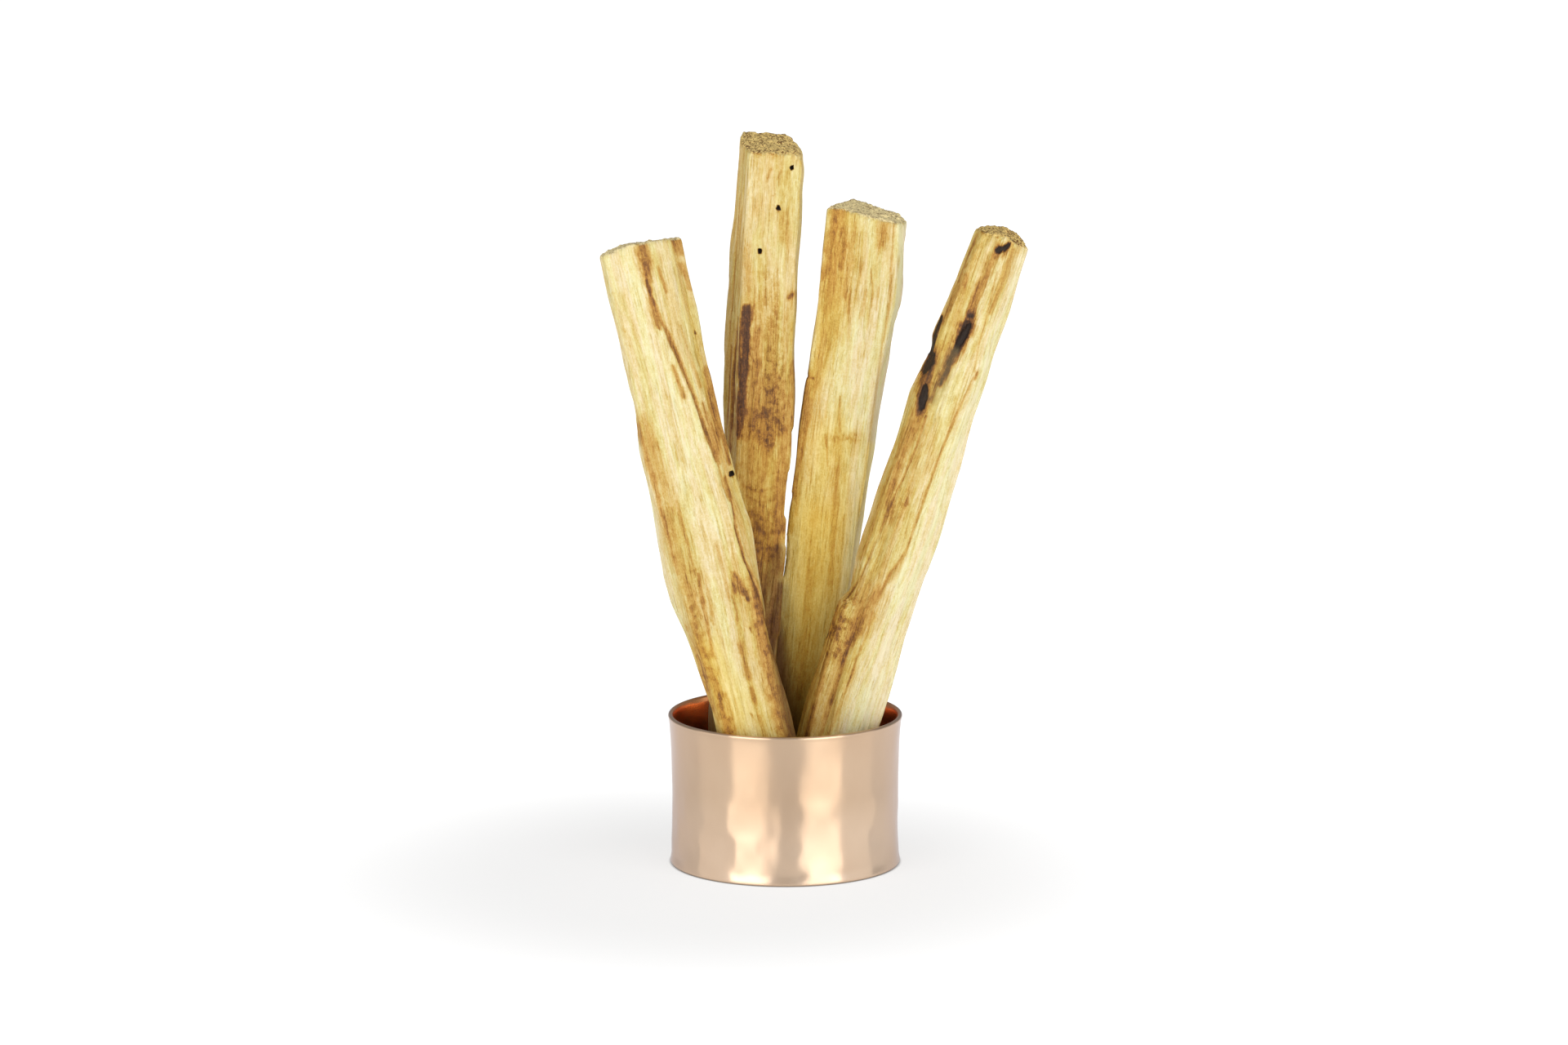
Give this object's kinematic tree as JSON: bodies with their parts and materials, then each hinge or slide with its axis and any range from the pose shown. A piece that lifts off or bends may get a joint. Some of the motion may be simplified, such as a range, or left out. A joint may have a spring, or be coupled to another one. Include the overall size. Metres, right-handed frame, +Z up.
{
  "type": "palo santo sticks in a cup",
  "caption": "Split sticks of pale, resin-stained palo santo wood leaning upright in a small round cup of hammered copper.",
  "frame": {"origin": "middle of the cup's underside", "axes": "+Z up out of the cup, -Y towards the front from which the sticks are seen fanned out, +X to the viewer's right"},
  "size_m": [0.0714, 0.04, 0.1259],
  "materials": {
    "copper": "hammered copper, satin brushed outside, polished dark inside",
    "palo_santo": "raw split wood, pale straw with brown resin stains and fine fibres"
  },
  "bodies": {
    "root": {"copper_cup": "copper", "stick_left": "palo_santo", "stick_tall": "palo_santo", "stick_middle": "palo_santo", "stick_right": "palo_santo"}
  },
  "joints": []
}
